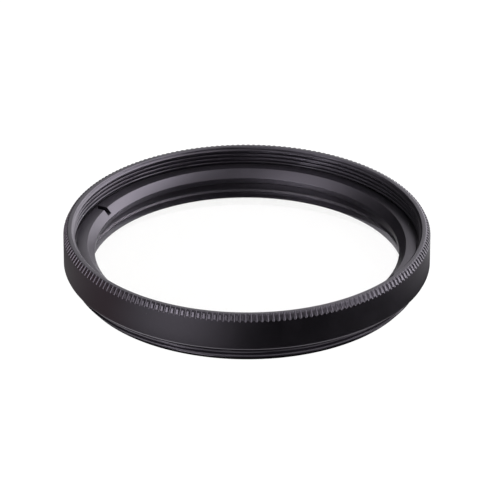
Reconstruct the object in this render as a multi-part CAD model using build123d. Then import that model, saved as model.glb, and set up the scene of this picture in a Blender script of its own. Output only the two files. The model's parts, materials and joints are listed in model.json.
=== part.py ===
from build123d import *
import os

# A screw-in lens filter: a turned ring that carries a coated glass disc, held down by a
# slotted retaining ring. Millimetres, +Z up towards the front, origin at the centre of the
# rear end. Radii are measured from the optical axis, which is +Z.

# Filter thread, the same size on the front bore and on the rear skirt
THREAD_MAJOR_R = 20.25
THREAD_PITCH = 0.5
THREAD_DEPTH = 0.5413 * THREAD_PITCH
THREAD_MINOR_R = THREAD_MAJOR_R - THREAD_DEPTH

# Glass disc
GLASS_THICKNESS = 1.1
GLASS_BEVEL = 0.12
GLASS_CLEARANCE = 0.05

# Retaining ring, which screws in below the front thread and presses the glass on its lip
RETAINER_GAP = 0.33
RETAINER_WIDTH = 2.0
RETAINER_HEIGHT = 1.54
RETAINER_CONE_WIDTH = 0.80
RETAINER_CONE_HEIGHT = 0.89
RETAINER_EDGE_BREAK = 0.06
RETAINER_CLEARANCE = 0.05
RETAINER_LIFT = 0.08
GLASS_COVERED = 1.35
SLOT_WIDTH = 0.62
SLOT_DEPTH = 0.62
SLOT_COUNT = 2
SLOT_ANGLE = 154

# Lip under the glass and the rear opening
SEAT_HEIGHT = 1.88
SEAT_WIDTH = 0.58
REAR_STEP = 0.20
REAR_BORE_LENGTH = 0.90

# Rear skirt, the male end
SKIRT_LENGTH = 2.23
SKIRT_LEAD_IN = 0.68
SKIRT_RELIEF_WIDTH = 0.5
SKIRT_RELIEF_DEPTH = 0.2

# Body of the ring
BODY_SHOULDER = 1.0
BODY_EDGE_BREAK = 0.12
GRIP_BEVEL_WIDTH = 0.45
GRIP_BEVEL_HEIGHT = 0.70
GRIP_GROOVE_COUNT = 211
GRIP_GROOVE_WIDTH = 0.76
GRIP_GROOVE_DEPTH = 0.12
GRIP_GROOVE_START = 0.015

# Front recess with its thread, and the groove that the thread runs out into
FRONT_RECESS_DEPTH = 1.98
FRONT_LEAD_IN = 0.43
FRONT_RELIEF_LIFT = 0.05
FRONT_RELIEF_WIDTH = 0.45
FRONT_RELIEF_DEPTH = 0.10

# Radii that follow from the sizes above, from the outside in
BODY_R = THREAD_MAJOR_R + BODY_SHOULDER
RETAINER_OUTER_R = THREAD_MINOR_R - RETAINER_GAP
RETAINER_INNER_R = RETAINER_OUTER_R - RETAINER_WIDTH
GLASS_R = RETAINER_INNER_R + GLASS_COVERED
SEAT_BORE_R = GLASS_R - SEAT_WIDTH
REAR_BORE_R = SEAT_BORE_R - REAR_STEP

# Levels that follow from the sizes above, from the rear end up
GLASS_TOP_Z = SEAT_HEIGHT + GLASS_THICKNESS
RETAINER_TOP_Z = GLASS_TOP_Z + RETAINER_HEIGHT
TOP_Z = RETAINER_TOP_Z + FRONT_RECESS_DEPTH


def turned(outline):
    """The solid made by turning a closed outline of (radius, height) points about the axis."""
    points = [(radius, 0, height) for radius, height in outline]
    return revolve(make_face(Polyline(*points, close=True)), Axis.Z)


def skirt_outline():
    """Outside of the rear skirt, from its end up to the body."""
    relief_r = THREAD_MINOR_R - SKIRT_RELIEF_DEPTH
    relief_z = SKIRT_LENGTH - SKIRT_RELIEF_WIDTH
    slope = THREAD_MAJOR_R - relief_r
    return [
        (THREAD_MAJOR_R - SKIRT_LEAD_IN, 0),
        (THREAD_MAJOR_R, SKIRT_LEAD_IN),
        (THREAD_MAJOR_R, relief_z - slope / 2),
        (relief_r, relief_z),
        (relief_r, SKIRT_LENGTH),
    ]


def body_outline():
    """Outside of the body, from the skirt up over the front face to the mouth."""
    return [
        (BODY_R - BODY_EDGE_BREAK, SKIRT_LENGTH),
        (BODY_R, SKIRT_LENGTH + BODY_EDGE_BREAK),
        (BODY_R, TOP_Z - GRIP_BEVEL_HEIGHT),
        (BODY_R - GRIP_BEVEL_WIDTH, TOP_Z),
        (THREAD_MINOR_R + FRONT_LEAD_IN, TOP_Z),
    ]


def bore_outline():
    """Inside of the ring, from the mouth down through thread, pocket and lip to the rear end."""
    relief_r = THREAD_MAJOR_R + FRONT_RELIEF_DEPTH
    relief_top = RETAINER_TOP_Z + FRONT_RELIEF_LIFT
    relief_floor = relief_top - FRONT_RELIEF_WIDTH
    retainer_bore_r = RETAINER_OUTER_R + RETAINER_CLEARANCE
    pocket_r = GLASS_R + GLASS_CLEARANCE
    pocket_top = GLASS_TOP_Z - RETAINER_LIFT
    return [
        (THREAD_MINOR_R, TOP_Z - FRONT_LEAD_IN),
        (THREAD_MINOR_R, relief_top),
        (relief_r, relief_top),
        (relief_r, relief_floor),
        (retainer_bore_r, relief_floor),
        (retainer_bore_r, pocket_top),
        (pocket_r, pocket_top),
        (pocket_r, SEAT_HEIGHT),
        (SEAT_BORE_R, SEAT_HEIGHT),
        (SEAT_BORE_R, REAR_BORE_LENGTH + REAR_STEP),
        (REAR_BORE_R, REAR_BORE_LENGTH),
        (REAR_BORE_R, 0),
    ]


def grip_grooves():
    """Cutters for the V grooves of the grip: they deepen down the bevel and run out on the wall.

    They are a little wider there than their spacing, so that the ridges between them end sharp.
    """
    groove_floor = Line(
        (BODY_R - GRIP_GROOVE_DEPTH, 0, TOP_Z - GRIP_BEVEL_HEIGHT),
        (BODY_R - GRIP_BEVEL_WIDTH + GRIP_GROOVE_START, 0, TOP_Z),
    )
    across = Plane(origin=groove_floor @ 0.5, x_dir=(0, 1, 0), z_dir=groove_floor % 0.5)
    section = Polyline(
        (0, 0),
        (GRIP_GROOVE_WIDTH, -2 * GRIP_GROOVE_DEPTH),
        (-GRIP_GROOVE_WIDTH, -2 * GRIP_GROOVE_DEPTH),
        close=True,
    )
    cutter = extrude(across * make_face(section), amount=groove_floor.length, both=True)
    return [
        Rot(0, 0, turn * 360 / GRIP_GROOVE_COUNT) * cutter for turn in range(GRIP_GROOVE_COUNT)
    ]


def filter_ring():
    """Housing turned in one piece: front thread bore, glass pocket, lip, rear skirt, grooved grip."""
    ring = turned(skirt_outline() + body_outline() + bore_outline())
    return ring - grip_grooves()


def glass():
    """Flat disc with a small bevel on both edges, lying on the lip of the housing."""
    disc = Pos(0, 0, SEAT_HEIGHT) * Cylinder(
        GLASS_R, GLASS_THICKNESS, align=(Align.CENTER, Align.CENTER, Align.MIN)
    )
    return chamfer(disc.edges().filter_by(GeomType.CIRCLE), GLASS_BEVEL)


def spanner_slots():
    """Cutters for the slots that a spanner turns the retaining ring by, spaced evenly round it."""
    cutter = Box(2 * RETAINER_WIDTH, SLOT_WIDTH, 2 * SLOT_DEPTH)
    middle_r = RETAINER_OUTER_R - RETAINER_WIDTH / 2
    return [
        Rot(0, 0, SLOT_ANGLE + turn * 360 / SLOT_COUNT) * Pos(middle_r, 0, RETAINER_TOP_Z) * cutter
        for turn in range(SLOT_COUNT)
    ]


def retaining_ring():
    """Flat-topped ring with a conical inner face over a straight land, slotted for a spanner."""
    top_inner_r = RETAINER_INNER_R + RETAINER_CONE_WIDTH
    land_top = RETAINER_TOP_Z - RETAINER_CONE_HEIGHT
    outline = [
        (RETAINER_INNER_R + RETAINER_EDGE_BREAK, GLASS_TOP_Z),
        (RETAINER_OUTER_R, GLASS_TOP_Z),
        (RETAINER_OUTER_R, RETAINER_TOP_Z),
        (top_inner_r, RETAINER_TOP_Z),
        (RETAINER_INNER_R, land_top),
        (RETAINER_INNER_R, GLASS_TOP_Z + RETAINER_EDGE_BREAK),
    ]
    return turned(outline) - spanner_slots()


os.makedirs("parts", exist_ok=True)
for make in (filter_ring, glass, retaining_ring):
    export_step(make(), f"parts/{make.__name__}.step")
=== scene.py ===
import bpy
import json
from math import atan2, cos, hypot, pi, radians, sin, tan

from mathutils import Matrix, Vector

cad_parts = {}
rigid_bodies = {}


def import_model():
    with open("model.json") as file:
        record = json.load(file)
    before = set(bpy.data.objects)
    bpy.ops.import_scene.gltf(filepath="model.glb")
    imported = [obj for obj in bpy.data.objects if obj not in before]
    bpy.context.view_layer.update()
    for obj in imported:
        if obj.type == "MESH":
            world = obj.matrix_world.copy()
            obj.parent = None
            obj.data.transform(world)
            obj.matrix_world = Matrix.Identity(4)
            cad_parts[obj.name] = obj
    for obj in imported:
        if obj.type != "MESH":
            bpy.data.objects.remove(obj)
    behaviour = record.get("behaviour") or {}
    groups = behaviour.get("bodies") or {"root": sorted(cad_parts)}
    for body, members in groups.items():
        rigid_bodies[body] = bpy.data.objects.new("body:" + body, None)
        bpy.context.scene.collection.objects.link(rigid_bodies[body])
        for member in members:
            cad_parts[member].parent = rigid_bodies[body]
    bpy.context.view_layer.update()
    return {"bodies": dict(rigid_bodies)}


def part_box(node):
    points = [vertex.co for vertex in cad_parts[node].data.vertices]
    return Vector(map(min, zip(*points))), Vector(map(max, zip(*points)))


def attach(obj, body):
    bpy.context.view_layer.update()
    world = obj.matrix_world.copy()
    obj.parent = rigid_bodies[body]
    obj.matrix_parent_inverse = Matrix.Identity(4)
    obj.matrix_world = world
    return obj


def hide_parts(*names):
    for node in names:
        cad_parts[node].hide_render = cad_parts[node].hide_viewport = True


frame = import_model()

# A screw-in lens filter in black anodised aluminium with a coated glass disc, on a white floor.
# Metres. The sizes below are millimetres, and radii are measured from the optical axis, which is Z.
MM = 0.001

_, ring_high = (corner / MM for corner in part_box("filter_ring"))
glass_low, glass_high = (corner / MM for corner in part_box("glass"))
_, retainer_high = (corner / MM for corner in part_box("retaining_ring"))

# Filter thread, on the front bore and on the rear skirt. A start is a share of a turn.
THREAD_PITCH = 0.5
THREAD_MAJOR_R = 20.25
THREAD_MINOR_R = THREAD_MAJOR_R - 0.5413 * THREAD_PITCH
THREAD_CUT = 0.28
FRONT_THREAD_START = 0.15
REAR_THREAD_START = 0.07

# Rear skirt
SKIRT_LENGTH = 2.13
SKIRT_LEAD_IN = 0.68
SKIRT_LEAD_IN_HEIGHT = 0.78
SKIRT_RELIEF_R = THREAD_MINOR_R - 0.2
SKIRT_RELIEF_FLOOR = SKIRT_LENGTH - 0.4
SKIRT_RELIEF_SLOPE = 0.235

# Body of the housing
TOP_Z = ring_high.z
BODY_R = ring_high.x
BODY_EDGE_WIDTH = 0.08
BODY_EDGE_HEIGHT = 0.16

# Grip: a crowned bevel with straight grooves across it
GRIP_BEVEL_WIDTH = 0.52
GRIP_BEVEL_HEIGHT = 0.58
GRIP_CROWN_WIDTH = 0.23
GRIP_CROWN_DROP = 0.09
GROOVE_COUNT = 211
GROOVE_TOOL_R = 0.20
GROOVE_DEPTH_LOW = 0.12
GROOVE_DEPTH_TOP = 0.03

# Bore of the housing, from the mouth down
FRONT_LEAD_IN = 0.33
FRONT_RELIEF_R = THREAD_MAJOR_R + 0.10
FRONT_RELIEF_TOP = retainer_high.z - 0.18
FRONT_RELIEF_FLOOR = retainer_high.z - 0.40
CLEARANCE = 0.05
POCKET_TOP = glass_high.z - 0.08
SEAT_BORE_R = glass_high.x - 0.58
REAR_STEP = 0.20
REAR_BORE_R = SEAT_BORE_R - REAR_STEP
REAR_BORE_TOP = 0.90
REAR_BORE_CHAMFER = 0.08

# Retaining ring and its spanner slots
RETAINER_WIDTH = 2.0
RETAINER_INNER_R = retainer_high.x - RETAINER_WIDTH
RETAINER_CONE_WIDTH = 0.80
RETAINER_CONE_HEIGHT = 0.89
RETAINER_EDGE_BREAK = 0.06
SLOT_WIDTH = 0.74
SLOT_DEPTH = 0.62
SLOT_COUNT = 2
SLOT_ANGLE = 154

GLASS_BEVEL = 0.12

# How finely the pieces are turned
COLUMNS = 360
ARC_STEPS = 4
ROWS_PER_PITCH = 16
SHARP_ANGLE = radians(28)

# Where the threads lie: lowest and highest point, radius, side and start. The side is 1 on the
# bore and -1 on the skirt, and the outline lies on a thread where it is this near the radius.
THREAD_REACH = 0.75
THREADS = [
    (0, SKIRT_RELIEF_FLOOR, THREAD_MAJOR_R, -1, REAR_THREAD_START),
    (FRONT_RELIEF_TOP, TOP_Z, THREAD_MINOR_R, 1, FRONT_THREAD_START),
]


class Tree:
    """A node tree, with one method that adds any node."""

    def __init__(self, nodes):
        self.nodes = nodes

    def node(self, kind, settings=None, **inputs):
        """Adds a node: its type, its settings, and the values or links of its sockets by name."""
        node = self.nodes.nodes.new(kind)
        for name, value in (settings or {}).items():
            setattr(node, name, value)
        for name, value in inputs.items():
            self.connect(node, name, value)
        return Socket(self, node, self.first_output(node))

    def first_output(self, node):
        return next((out for out in node.outputs if out.enabled), None)

    def connect(self, node, name, value):
        """Sets or links one input, named in words with _ for a space, or by in0, in1 and so on."""
        if name[:2] == "in" and name[2:].isdigit():
            socket = node.inputs[int(name[2:])]
        else:
            label = name.replace("_", " ").lower()
            socket = next(s for s in node.inputs if s.enabled and s.name.lower() == label)
        if isinstance(value, Socket):
            self.nodes.links.new(value.socket, socket)
        else:
            socket.default_value = value


class Socket:
    """An output socket that Python's operators turn into Math nodes."""

    def __init__(self, tree, node, socket):
        self.tree, self.node, self.socket = tree, node, socket

    def out(self, name):
        """Another output of the same node."""
        return Socket(self.tree, self.node, self.node.outputs[name])

    def math(self, operation, *others):
        inputs = {f"in{place}": value for place, value in enumerate((self, *others))}
        return self.tree.node("ShaderNodeMath", {"operation": operation}, **inputs)

    def __add__(self, other):
        return self.math("ADD", other)

    def __sub__(self, other):
        return self.math("SUBTRACT", other)

    def __mul__(self, other):
        return self.math("MULTIPLY", other)

    def __truediv__(self, other):
        return self.math("DIVIDE", other)

    def __rsub__(self, other):
        return self.math("MULTIPLY", -1.0).math("ADD", other)

    def __rtruediv__(self, other):
        return self.math("POWER", -1.0).math("MULTIPLY", other)

    def __abs__(self):
        return self.math("ABSOLUTE")

    __radd__ = __add__
    __rmul__ = __mul__

    def ramp(self, start, end):
        """0 at start and 1 at end, smooth between them."""
        return self.tree.node(
            "ShaderNodeMapRange",
            {"interpolation_type": "SMOOTHSTEP"},
            Value=self,
            From_Min=start,
            From_Max=end,
        )


def geometry_tree(name, sizes):
    """A Geometry Nodes tree with a geometry input and output and one float input for each size."""
    group = bpy.data.node_groups.new(name, "GeometryNodeTree")
    group.interface.new_socket("Geometry", in_out="INPUT", socket_type="NodeSocketGeometry")
    for size in sizes:
        group.interface.new_socket(size, in_out="INPUT", socket_type="NodeSocketFloat")
    group.interface.new_socket("Material", in_out="INPUT", socket_type="NodeSocketMaterial")
    group.interface.new_socket("Geometry", in_out="OUTPUT", socket_type="NodeSocketGeometry")
    tree = Tree(group)
    return tree, tree.node("NodeGroupInput")


def finish_tree(tree, geometry, material):
    """Ends a tree in Realize Instances and Set Material."""
    real = tree.node("GeometryNodeRealizeInstances", Geometry=geometry)
    done = tree.node("GeometryNodeSetMaterial", Geometry=real, Material=material)
    tree.node("NodeGroupOutput", Geometry=done)
    return tree.nodes


def turning_tree():
    """Turns a line of points in the XZ plane about the Z axis and cuts its thread.

    The attribute "side" is 1 on points of an inner thread, -1 on an outer one and 0 elsewhere, and
    "start" is the turn that the thread starts from.
    """
    sizes = ["Points", "Columns", "Pitch", "Cut", "Minor radius", "Major radius"]
    tree, given = geometry_tree("Turned with thread", sizes)
    points, columns = given.out("Points"), given.out("Columns")
    grid = tree.node(
        "GeometryNodeMeshGrid", Size_X=1.0, Size_Y=1.0, Vertices_X=columns + 1, Vertices_Y=points
    )
    index = tree.node("GeometryNodeInputIndex")
    rounding = 0.0005
    column = (index / points + rounding).math("FLOOR")
    row = index - column * points

    def sample(kind, value):
        return tree.node(
            "GeometryNodeSampleIndex",
            {"data_type": kind},
            Geometry=given.out("Geometry"),
            Value=value,
            Index=row,
        )

    def named(name):
        return tree.node("GeometryNodeInputNamedAttribute", {"data_type": "FLOAT"}, Name=name)

    place = tree.node(
        "ShaderNodeSeparateXYZ", Vector=sample("FLOAT_VECTOR", tree.node("GeometryNodeInputPosition"))
    )
    radius, height = place.out("X"), place.out("Z")
    side, start = sample("FLOAT", named("side")), sample("FLOAT", named("start"))
    turn = column / columns
    phase = (height / given.out("Pitch") - turn + start).math("FRACT")
    groove = (1 - (abs(phase - 0.5) * 2).ramp(0.02, 0.70)) * given.out("Cut")
    inner = radius.math("MAXIMUM", given.out("Minor radius") + groove)
    outer = radius.math("MINIMUM", given.out("Major radius") - groove)
    is_inner = side.math("GREATER_THAN", 0.5)
    is_outer = side.math("LESS_THAN", -0.5)
    cut = radius + is_inner * (inner - radius) + is_outer * (outer - radius)
    angle = turn * (2 * pi)
    spot = tree.node(
        "ShaderNodeCombineXYZ",
        X=cut * angle.math("COSINE"),
        Y=cut * angle.math("SINE"),
        Z=height,
    )
    turned = tree.node("GeometryNodeSetPosition", Geometry=grid, Position=spot)
    closed = tree.node("GeometryNodeMergeByDistance", Geometry=turned, Distance=0.0002 * MM)
    return finish_tree(tree, closed, given.out("Material"))


def cutting_tree(name, cutter, cutter_sizes):
    """Cuts copies of one cutter out of a piece, evenly round the Z axis.

    cutter(tree, given) makes the cutter lying along the X axis, and the sizes say where it goes:
    its radius and height, how far its outer end tilts down, and the angle of the first copy.
    """
    sizes = ["Count", "Angle", "Radius", "Height", "Tilt"]
    tree, given = geometry_tree(name, sizes + cutter_sizes)
    placed = tree.node(
        "GeometryNodeTransform",
        Geometry=cutter(tree, given),
        Translation=tree.node(
            "ShaderNodeCombineXYZ", X=given.out("Radius"), Z=given.out("Height")
        ),
        Rotation=tree.node("ShaderNodeCombineXYZ", Y=given.out("Tilt")),
    )
    spots = tree.node("GeometryNodePoints", Count=given.out("Count"))
    turn = tree.node("GeometryNodeInputIndex") / given.out("Count") * (2 * pi)
    copies = tree.node(
        "GeometryNodeInstanceOnPoints",
        Points=spots,
        Instance=placed,
        Rotation=tree.node("ShaderNodeCombineXYZ", Z=turn + given.out("Angle")),
    )
    real = tree.node("GeometryNodeRealizeInstances", Geometry=copies)
    cut = tree.node(
        "GeometryNodeMeshBoolean",
        {"operation": "DIFFERENCE", "solver": "MANIFOLD"},
        Mesh_1=given.out("Geometry"),
        Mesh_2=real,
    )
    return finish_tree(tree, cut, given.out("Material"))


def round_cutter(tree, given):
    """A round bar along the X axis."""
    bar = tree.node(
        "GeometryNodeMeshCylinder",
        Vertices=24,
        Radius=given.out("Across"),
        Depth=given.out("Along"),
    )
    return tree.node("GeometryNodeTransform", Geometry=bar.out("Mesh"), Rotation=(0, pi / 2, 0))


def square_cutter(tree, given):
    """A square bar along the X axis."""
    size = tree.node(
        "ShaderNodeCombineXYZ", X=given.out("Along"), Y=given.out("Across"), Z=given.out("Deep")
    )
    return tree.node("GeometryNodeMeshCube", Size=size).out("Mesh")


def rounded(outline, closed=True):
    """The outline with an arc at each corner, whose third number is the arc's radius."""
    points = []
    count = len(outline)
    for place, (radius, height, bend) in enumerate(outline):
        here = Vector((radius, height))
        if not bend:
            points.append(here)
            continue
        back = (Vector(outline[place - 1][:2]) - here).normalized()
        ahead = (Vector(outline[(place + 1) % count][:2]) - here).normalized()
        half = back.angle(ahead) / 2
        centre = here + (back + ahead).normalized() * (bend / sin(half))
        first = here + back * (bend / tan(half)) - centre
        last = here + ahead * (bend / tan(half)) - centre
        swing = first.angle_signed(last)
        for step in range(ARC_STEPS + 1):
            points.append(centre + Matrix.Rotation(-swing * step / ARC_STEPS, 2) @ first)
    return points + points[:1] if closed else points


def thread_at(point):
    """(side, start) of the thread that a point of the housing's outline lies on, or zeros."""
    for low, high, radius, side, start in THREADS:
        if low - 1e-6 <= point.y <= high + 1e-6 and abs(point.x - radius) < THREAD_REACH:
            return side, start
    return 0, 0.0


def threaded_rows(points):
    """(point, side, start) for each point of the housing's outline, closer along its threads."""
    rows = []
    for here, there in zip(points, points[1:] + points[-1:]):
        side, start = thread_at(here)
        rows.append((here, side, start))
        if side and side == thread_at(there)[0]:
            steps = round(abs(there.y - here.y) / THREAD_PITCH * ROWS_PER_PITCH)
            rows += [(here.lerp(there, step / steps), side, start) for step in range(1, steps)]
    return rows


def plain_rows(points):
    """The same list for an outline without a thread."""
    return [(point, 0, 0.0) for point in points]


def mesh_from_rows(name, rows):
    """A line of points in the XZ plane with the attributes that the turning tree reads."""
    mesh = bpy.data.meshes.new(name)
    mesh.from_pydata([(p.x * MM, 0, p.y * MM) for p, _, _ in rows], [], [])
    for label, values in (("side", [r[1] for r in rows]), ("start", [r[2] for r in rows])):
        layer = mesh.attributes.new(label, "FLOAT", "POINT")
        layer.data.foreach_set("value", [float(value) for value in values])
    return mesh


def add_nodes(obj, group, material, **sizes):
    """Adds a tree to the object, with its inputs set by the sockets' identifiers."""
    modifier = obj.modifiers.new(group.name, "NODES")
    modifier.node_group = group
    wanted = {name.replace("_", " "): value for name, value in sizes.items()}
    for item in group.interface.items_tree:
        if item.in_out == "INPUT" and item.name in wanted:
            modifier[item.identifier] = float(wanted[item.name])
        elif item.name == "Material":
            modifier[item.identifier] = material


def made_plain(obj):
    """Turns the evaluated object into a plain mesh and takes its modifiers off."""
    graph = bpy.context.evaluated_depsgraph_get()
    mesh = bpy.data.meshes.new_from_object(obj.evaluated_get(graph))
    obj.modifiers.clear()
    obj.data = mesh
    mesh.name = obj.name
    mesh.shade_smooth()
    mesh.set_sharp_from_angle(angle=SHARP_ANGLE)
    return obj


def turned_piece(name, rows, material):
    """A piece turned from rows of points, with its modifier still live."""
    obj = bpy.data.objects.new(name, mesh_from_rows(name, rows))
    bpy.context.scene.collection.objects.link(obj)
    add_nodes(
        obj,
        TURNING,
        material,
        Points=len(rows),
        Columns=COLUMNS,
        Pitch=THREAD_PITCH * MM,
        Cut=THREAD_CUT * MM,
        Minor_radius=THREAD_MINOR_R * MM,
        Major_radius=THREAD_MAJOR_R * MM,
    )
    return obj


def object_radius(tree):
    """(radius from the axis, height) in millimetres, from Object coordinates."""
    spot = tree.node(
        "ShaderNodeSeparateXYZ", Vector=tree.node("ShaderNodeTexCoord").out("Object")
    )
    across = (spot.out("X") * spot.out("X") + spot.out("Y") * spot.out("Y")).math("SQRT")
    return across / MM, spot.out("Z") / MM


def new_material(name):
    """(material, its tree) without any node."""
    material = bpy.data.materials.new(name)
    material.use_nodes = True
    material.node_tree.nodes.clear()
    return material, Tree(material.node_tree)


def black_anodised():
    """Dyed aluminium: fine turning marks, a faint mottle in the dye and a few bright nicks.

    A brownish reflection is painted into the colour on the left of the outer wall.
    """
    material, tree = new_material("black_anodised")
    across, height = object_radius(tree)
    rings = tree.node(
        "ShaderNodeTexNoise",
        {"noise_dimensions": "2D"},
        Vector=tree.node("ShaderNodeCombineXYZ", X=across * 9, Y=height * 9),
        Scale=1.0,
        Detail=3.0,
        Roughness=0.6,
    )
    place = tree.node("ShaderNodeTexCoord").out("Object")
    mottle = tree.node(
        "ShaderNodeTexNoise", Vector=place, Scale=420.0, Detail=4.0, Roughness=0.6
    )
    grain = tree.node(
        "ShaderNodeTexNoise", Vector=place, Scale=9000.0, Detail=2.0, Roughness=0.5
    )
    nicks = tree.node("ShaderNodeTexNoise", Vector=place, Scale=1900.0, Detail=1.0)
    nick = nicks.ramp(0.80, 0.84)
    dye_and_painted_reflection = tree.node(
        "ShaderNodeMix",
        {"data_type": "RGBA"},
        Factor=mottle.ramp(0.3, 0.7),
        in6=(0.0034, 0.0029, 0.0040, 1),
        in7=(0.0047, 0.0040, 0.0054, 1),
    ).out(2)
    # Painted reflection: a brownish tint mixed into the colour on the left of the outer wall
    left = tree.node("ShaderNodeSeparateXYZ", Vector=place).out("X") / -MM
    dye_and_painted_reflection = tree.node(
        "ShaderNodeMix",
        {"data_type": "RGBA"},
        Factor=left.ramp(11.0, 17.0) * across.ramp(BODY_R - 0.55, BODY_R - 0.25),
        in6=dye_and_painted_reflection,
        in7=(0.0122, 0.0033, 0.0049, 1),
    ).out(2)
    colour = tree.node(
        "ShaderNodeMix", {"data_type": "RGBA"}, Factor=nick, in6=dye_and_painted_reflection, in7=(0.55, 0.55, 0.57, 1)
    ).out(2)
    roughness = 0.30 + mottle * 0.10 + rings * 0.06
    bump = tree.node(
        "ShaderNodeBump",
        Strength=0.25,
        Distance=0.00001,
        Height=rings * 0.7 + grain * 0.3,
    )
    shader = tree.node(
        "ShaderNodeBsdfPrincipled",
        Base_Color=colour,
        Metallic=nick,
        Roughness=roughness,
        IOR=2.03,
        Specular_Tint=(0.915, 0.835, 1.0, 1),
        Normal=bump,
    )
    tree.node("ShaderNodeOutputMaterial", Surface=shader)
    return material


def coated_glass():
    """Clear glass with an anti-reflection coating, which leaves a faint green and violet sheen."""
    material, tree = new_material("coated_glass")
    place = tree.node("ShaderNodeTexCoord").out("Object")
    haze = tree.node("ShaderNodeTexNoise", Vector=place, Scale=150.0, Detail=3.0)
    glass = tree.node(
        "ShaderNodeBsdfPrincipled",
        Base_Color=(0.995, 0.99, 0.995, 1),
        Roughness=haze * 0.02,
        IOR=1.5,
        Transmission_Weight=1.0,
        Specular_IOR_Level=0.15,
        Specular_Tint=(0.82, 0.78, 1.0, 1),
    )
    clear = tree.node("ShaderNodeBsdfTransparent", Color=(0.97, 0.97, 0.97, 1))
    shadow = tree.node("ShaderNodeLightPath").out("Is Shadow Ray")
    mixed = tree.node("ShaderNodeMixShader", in0=shadow, in1=glass, in2=clear)
    tree.node("ShaderNodeOutputMaterial", Surface=mixed)
    return material


def filter_ring(metal):
    """The housing: its outline runs from the rear end up the outside and down the bore."""
    outline = [
        (THREAD_MAJOR_R - SKIRT_LEAD_IN, 0, 0.04),
        (THREAD_MAJOR_R, SKIRT_LEAD_IN_HEIGHT, 0),
        (THREAD_MAJOR_R, SKIRT_RELIEF_FLOOR - SKIRT_RELIEF_SLOPE, 0),
        (SKIRT_RELIEF_R, SKIRT_RELIEF_FLOOR, 0.05),
        (SKIRT_RELIEF_R, SKIRT_LENGTH, 0),
        (BODY_R - BODY_EDGE_WIDTH, SKIRT_LENGTH, 0.02),
        (BODY_R, SKIRT_LENGTH + BODY_EDGE_HEIGHT, 0.02),
        (BODY_R, TOP_Z - GRIP_BEVEL_HEIGHT, 0.03),
        (BODY_R - GRIP_CROWN_WIDTH, TOP_Z - GRIP_CROWN_DROP, 0.08),
        (BODY_R - GRIP_BEVEL_WIDTH, TOP_Z, 0.03),
        (THREAD_MINOR_R + FRONT_LEAD_IN, TOP_Z, 0.03),
        (THREAD_MINOR_R, TOP_Z - FRONT_LEAD_IN, 0),
        (THREAD_MINOR_R, FRONT_RELIEF_TOP, 0),
        (FRONT_RELIEF_R, FRONT_RELIEF_TOP, 0),
        (FRONT_RELIEF_R, FRONT_RELIEF_FLOOR, 0.04),
        (retainer_high.x + CLEARANCE, FRONT_RELIEF_FLOOR, 0.03),
        (retainer_high.x + CLEARANCE, POCKET_TOP, 0),
        (glass_high.x + CLEARANCE, POCKET_TOP, 0.02),
        (glass_high.x + CLEARANCE, glass_low.z, 0),
        (SEAT_BORE_R, glass_low.z, 0.03),
        (SEAT_BORE_R, REAR_BORE_TOP + REAR_STEP, 0.02),
        (REAR_BORE_R, REAR_BORE_TOP, 0.02),
        (REAR_BORE_R, REAR_BORE_CHAMFER, 0),
        (REAR_BORE_R + REAR_BORE_CHAMFER, 0, 0),
    ]
    ring = turned_piece("filter_ring_dressed", threaded_rows(rounded(outline)), metal)
    bevel = hypot(GRIP_BEVEL_WIDTH, GRIP_BEVEL_HEIGHT)
    slope = atan2(GRIP_BEVEL_HEIGHT, GRIP_BEVEL_WIDTH)
    lift = GROOVE_TOOL_R - (GROOVE_DEPTH_LOW + GROOVE_DEPTH_TOP) / 2
    add_nodes(
        ring,
        GROOVES,
        metal,
        Count=GROOVE_COUNT,
        Angle=0.0,
        Radius=(BODY_R - GRIP_BEVEL_WIDTH / 2 + lift * sin(slope)) * MM,
        Height=(TOP_Z - GRIP_BEVEL_HEIGHT / 2 + lift * cos(slope)) * MM,
        Tilt=slope + atan2(GROOVE_DEPTH_LOW - GROOVE_DEPTH_TOP, bevel),
        Across=GROOVE_TOOL_R * MM,
        Along=4 * bevel * MM,
    )
    return made_plain(ring)


def retaining_ring(metal):
    """The ring that holds the glass down: flat top, conical inner face, slots for a spanner."""
    outline = [
        (RETAINER_INNER_R + RETAINER_EDGE_BREAK, glass_high.z, 0),
        (retainer_high.x, glass_high.z, 0.02),
        (retainer_high.x, retainer_high.z, 0.02),
        (RETAINER_INNER_R + RETAINER_CONE_WIDTH, retainer_high.z, 0.04),
        (RETAINER_INNER_R, retainer_high.z - RETAINER_CONE_HEIGHT, 0.04),
        (RETAINER_INNER_R, glass_high.z + RETAINER_EDGE_BREAK, 0),
    ]
    ring = turned_piece("retaining_ring_dressed", plain_rows(rounded(outline)), metal)
    add_nodes(
        ring,
        SLOTS,
        metal,
        Count=SLOT_COUNT,
        Angle=radians(SLOT_ANGLE),
        Radius=(retainer_high.x - RETAINER_WIDTH / 2) * MM,
        Height=retainer_high.z * MM,
        Tilt=0.0,
        Across=SLOT_WIDTH * MM,
        Along=2 * RETAINER_WIDTH * MM,
        Deep=2 * SLOT_DEPTH * MM,
    )
    return made_plain(ring)


def glass_disc(clear_glass):
    """The flat disc, with a bevel on both edges. Its outline starts and ends on the axis."""
    outline = [
        (0, glass_low.z, 0),
        (glass_high.x - GLASS_BEVEL, glass_low.z, 0),
        (glass_high.x, glass_low.z + GLASS_BEVEL, 0),
        (glass_high.x, glass_high.z - GLASS_BEVEL, 0),
        (glass_high.x - GLASS_BEVEL, glass_high.z, 0),
        (0, glass_high.z, 0),
    ]
    points = rounded(outline, closed=False)
    return made_plain(turned_piece("glass_dressed", plain_rows(points), clear_glass))


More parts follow.
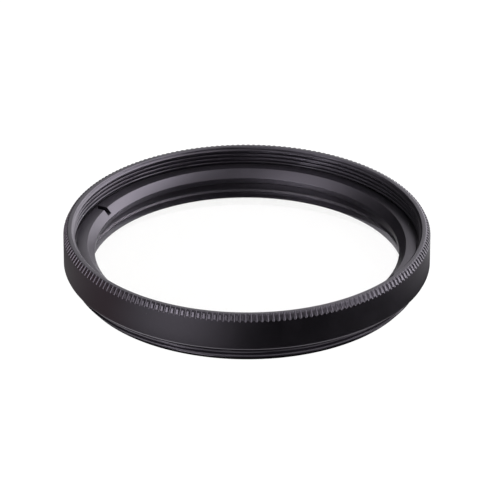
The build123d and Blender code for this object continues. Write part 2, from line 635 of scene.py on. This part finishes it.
TURNING = turning_tree()
GROOVES = cutting_tree("Grooves round the bevel", round_cutter, ["Across", "Along"])
SLOTS = cutting_tree("Spanner slots", square_cutter, ["Across", "Along", "Deep"])
anodised_metal = black_anodised()
pieces = [
    (filter_ring(anodised_metal), "filter_ring", "black_anodised"),
    (retaining_ring(anodised_metal), "retaining_ring", "black_anodised"),
    (glass_disc(coated_glass()), "glass", "coated_glass"),
]
for piece, node, finish in pieces:
    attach(piece, next(iter(frame["bodies"])))
    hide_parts(node)

# Camera: it looks down at the ring from the object's front
CAMERA_DISTANCE = 0.5743
CAMERA_ELEVATION = radians(28.733)
CAMERA_ROLL = radians(0.1417)
CAMERA_LENS = 355.4
FRAME_CENTRE_RIGHT = 0.364 * MM
FRAME_CENTRE_UP = 3.035 * MM


def place_camera():
    """Puts the camera in front of the ring and turns it to the middle of the picture."""
    camera = bpy.data.objects.new("camera", bpy.data.cameras.new("camera"))
    bpy.context.scene.collection.objects.link(camera)
    bpy.context.scene.camera = camera
    camera.data.lens = CAMERA_LENS
    camera.data.clip_start = 0.01
    camera.data.clip_end = 10
    back = CAMERA_DISTANCE * cos(CAMERA_ELEVATION)
    camera.location = (0, -back, CAMERA_DISTANCE * sin(CAMERA_ELEVATION))
    up = Vector((0, sin(CAMERA_ELEVATION), cos(CAMERA_ELEVATION)))
    target = Vector((FRAME_CENTRE_RIGHT, 0, 0)) + up * FRAME_CENTRE_UP
    aim = (target - camera.location).to_track_quat("-Z", "Y").to_matrix()
    camera.rotation_euler = (aim @ Matrix.Rotation(CAMERA_ROLL, 3, "Z")).to_euler()


# The studio as the metal mirrors it: soft lights by azimuth, elevation and level, where white is 1.
# Azimuth 0 is the ring's right in the picture, 90 its back and 270 the camera's side.
LIGHT_SOFTNESS = 24
LIGHTS = [
    (358, 0, 3.5),
    (22, 0, 5.0),
    (44, 0, 1.8),
    (66, 0, 0.9),
    (88, 0, 1.0),
    (22, 16, 1.7),
    (66, 16, 1.4),
    (88, 16, 0.6),
    (14, 32, 1.4),
    (42, 44, 1.3),
    (66, 34, 0.8),
    (155, 62, 0.7),
    (0, 54, 3.0),
    (22, 54, 1.7),
    (300, 38, 0.4),
    (336, 0, 1.8),
    (204, 0, 0.9),
    (226, 0, 2.7),
    (226, 16, 3.6),
    (248, 16, 0.4),
    (248, 34, 1.3),
    (204, 54, 1.1),
    (226, 54, 0.4),
]

# Their shine on the table: azimuth, spread, from and to a radius in millimetres, and level
TABLE_SHINE = [
    (10, 42, 23.3, 3000, 0.25),
    (40, 36, 24.5, 3000, 1.4),
    (60, 36, 24.5, 3000, 1.1),
    (182, 52, 22.0, 3000, 0.2),
    (240, 36, 24.5, 3000, 0.5),
    (232, 40, 20.5, 22.2, 1.2),
    (272, 60, 20.5, 22.2, 0.7),
    (312, 40, 20.5, 22.2, 0.6),
    (5, 50, 16.0, 18.3, 0.9),
    (175, 50, 16.0, 18.3, 0.7),
]

# The floor as the camera sees it: its own white, and how much of it takes light and shadow
FLOOR_REACH = 3
FLOOR_WHITE = 0.99
FLOOR_SHADE = 0.115


def shown_white(tree):
    """1 for rays from the camera, straight or through the glass, and 0 for all others."""
    path = tree.node("ShaderNodeLightPath")
    mirrored = (path.out("Glossy Depth") + path.out("Diffuse Depth")).math("GREATER_THAN", 0.5)
    return path.out("Is Camera Ray") + path.out("Is Transmission Ray") * (1 - mirrored)


def towards(azimuth, elevation=0):
    """The direction of an azimuth and elevation in degrees."""
    spin, tip = radians(azimuth), radians(elevation)
    return Vector((cos(spin) * cos(tip), sin(spin) * cos(tip), sin(tip)))


def facing(tree, direction, way):
    """Cosine of the angle between a direction in the shader and a fixed one."""
    dot = tree.node("ShaderNodeVectorMath", {"operation": "DOT_PRODUCT"}, in0=direction, in1=way)
    return dot.out("Value")


def add_floor():
    """A floor that is white for the camera and keeps the shadow. The metal mirrors its shine."""
    floor = bpy.data.objects.new("floor", bpy.data.meshes.new("floor"))
    corners = [(-FLOOR_REACH, -FLOOR_REACH, 0), (FLOOR_REACH, -FLOOR_REACH, 0)]
    corners += [(FLOOR_REACH, FLOOR_REACH, 0), (-FLOOR_REACH, FLOOR_REACH, 0)]
    floor.data.from_pydata(corners, [], [(0, 1, 2, 3)])
    bpy.context.scene.collection.objects.link(floor)
    material, tree = new_material("floor")
    floor.data.materials.append(material)
    spot = tree.node("ShaderNodeTexCoord").out("Object")
    outward = tree.node("ShaderNodeVectorMath", {"operation": "NORMALIZE"}, in0=spot)
    reach = tree.node("ShaderNodeVectorMath", {"operation": "LENGTH"}, in0=spot).out("Value")
    shine = 0
    for azimuth, spread, inner, outer, level in TABLE_SHINE:
        off = facing(tree, outward, towards(azimuth)).math("ARCCOSINE")
        within = reach.math("GREATER_THAN", inner * MM) * reach.math("LESS_THAN", outer * MM)
        shine = shine + (1 - off.ramp(0, radians(spread))) * within * level
    white = tree.node("ShaderNodeEmission", Color=(1, 1, 1, 1), Strength=FLOOR_WHITE)
    shade = (FLOOR_SHADE, FLOOR_SHADE, FLOOR_SHADE, 1)
    matte = tree.node("ShaderNodeBsdfDiffuse", Color=shade)
    shown = tree.node("ShaderNodeAddShader", in0=white, in1=matte)
    glow = tree.node("ShaderNodeEmission", Color=(1, 1, 1, 1), Strength=shine)
    mixed = tree.node("ShaderNodeMixShader", in0=shown_white(tree), in1=glow, in2=shown)
    tree.node("ShaderNodeOutputMaterial", Surface=mixed)


def light_the_world():
    """A world that is white for the camera and holds the studio's lights for everything else."""
    world = bpy.data.worlds.new("world")
    bpy.context.scene.world = world
    world.use_nodes = True
    world.node_tree.nodes.clear()
    tree = Tree(world.node_tree)
    way = tree.node("ShaderNodeTexCoord").out("Generated")
    studio = 0
    for azimuth, elevation, level in LIGHTS:
        away = (facing(tree, way, towards(azimuth, elevation)) - 1) * LIGHT_SOFTNESS
        studio = studio + away.math("EXPONENT") * level
    white = shown_white(tree)
    strength = white + (1 - white) * studio
    sky = tree.node("ShaderNodeBackground", Color=(1, 1, 1, 1), Strength=strength)
    tree.node("ShaderNodeOutputWorld", Surface=sky)


place_camera()
add_floor()
light_the_world()
bpy.context.scene.view_settings.view_transform = "Standard"
